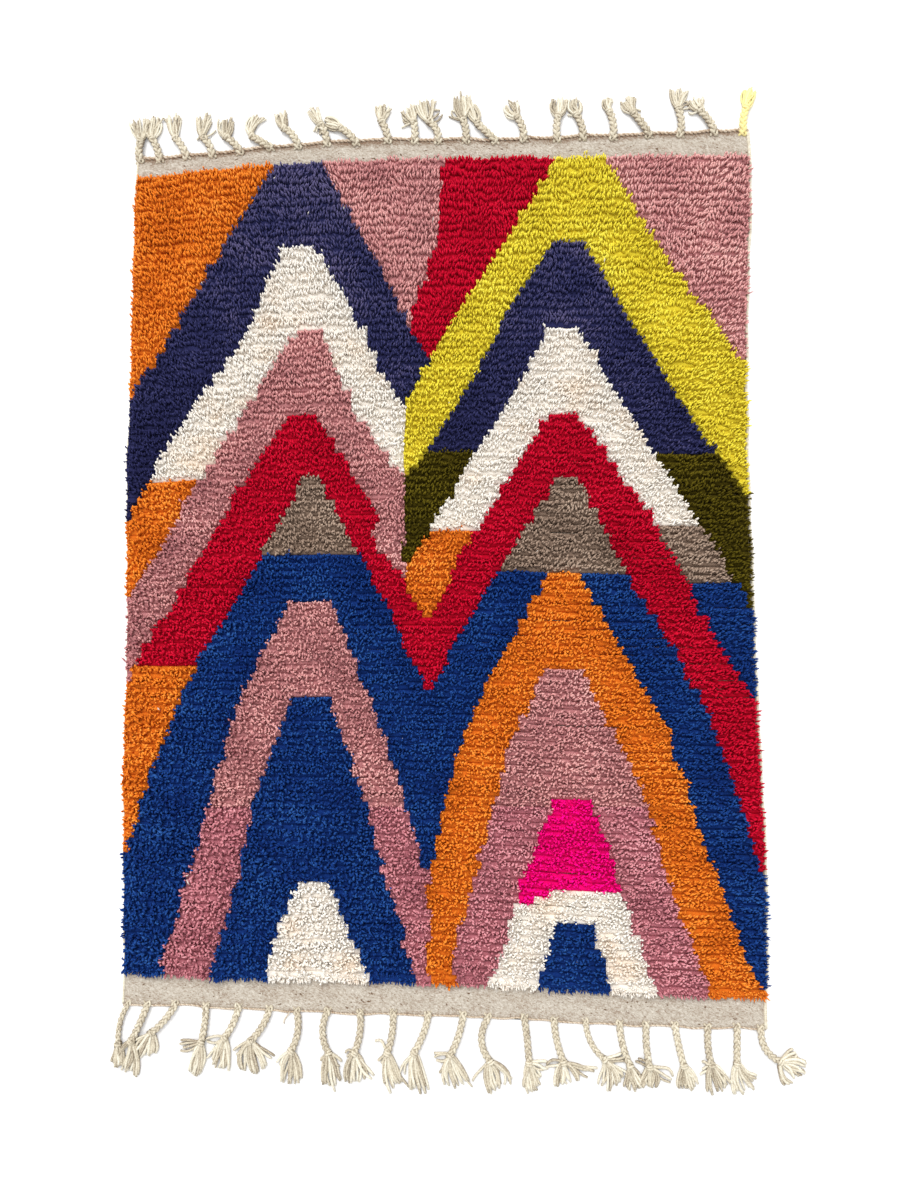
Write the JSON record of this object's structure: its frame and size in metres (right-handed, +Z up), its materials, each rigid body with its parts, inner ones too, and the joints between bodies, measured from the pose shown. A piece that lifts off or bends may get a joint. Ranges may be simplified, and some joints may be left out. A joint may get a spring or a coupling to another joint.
{
  "type": "azilal rug",
  "caption": "Small shaggy hand-knotted wool rug lying flat, with nested coloured peaks in its pile, flat-woven end bands, a twined cord along each end and plaited tassels.",
  "frame": {"origin": "on the floor under the middle of the whole rug, tassels included", "axes": "+X across the rug, +Y along it towards the end with the short tassels, +Z up out of the pile"},
  "size_m": [1.0724, 1.6018, 0.0186],
  "materials": {
    "pile_orange": "matte",
    "pile_navy": "matte",
    "pile_blue": "matte",
    "pile_white": "matte",
    "pile_pink": "matte",
    "pile_red": "matte",
    "pile_yellow": "matte",
    "pile_olive": "matte",
    "pile_grey": "matte",
    "pile_magenta": "matte",
    "ground_wool": "matte",
    "cord_wool": "matte",
    "fringe_wool": "matte"
  },
  "bodies": {
    "root": {"ground_weave": "ground_wool", "pile_field": "pile_blue", "end_cord_bottom": "cord_wool", "end_cord_top": "cord_wool", "tassel_bottom_01": "fringe_wool", "tassel_bottom_02": "fringe_wool", "tassel_bottom_03": "fringe_wool", "tassel_bottom_04": "fringe_wool", "tassel_bottom_05": "fringe_wool", "tassel_bottom_06": "fringe_wool", "tassel_bottom_07": "fringe_wool", "tassel_bottom_08": "fringe_wool", "tassel_bottom_09": "fringe_wool", "tassel_bottom_10": "fringe_wool", "tassel_bottom_11": "fringe_wool", "tassel_bottom_12": "fringe_wool", "tassel_bottom_13": "fringe_wool", "tassel_bottom_14": "fringe_wool", "tassel_bottom_15": "fringe_wool", "tassel_bottom_16": "fringe_wool", "tassel_bottom_17": "fringe_wool", "tassel_bottom_18": "fringe_wool", "tassel_bottom_19": "fringe_wool", "tassel_bottom_20": "fringe_wool", "tassel_bottom_21": "fringe_wool", "tassel_bottom_22": "fringe_wool", "tassel_top_01": "fringe_wool", "tassel_top_02": "fringe_wool", "tassel_top_03": "fringe_wool", "tassel_top_04": "fringe_wool", "tassel_top_05": "fringe_wool", "tassel_top_06": "fringe_wool", "tassel_top_07": "fringe_wool", "tassel_top_08": "fringe_wool", "tassel_top_09": "fringe_wool", "tassel_top_10": "fringe_wool", "tassel_top_11": "fringe_wool", "tassel_top_12": "fringe_wool", "tassel_top_13": "fringe_wool", "tassel_top_14": "fringe_wool", "tassel_top_15": "fringe_wool", "tassel_top_16": "fringe_wool", "tassel_top_17": "fringe_wool", "tassel_top_18": "fringe_wool", "tassel_top_19": "fringe_wool", "tassel_top_20": "fringe_wool", "tassel_top_21": "fringe_wool", "tassel_top_22": "fringe_wool"}
  },
  "joints": []
}
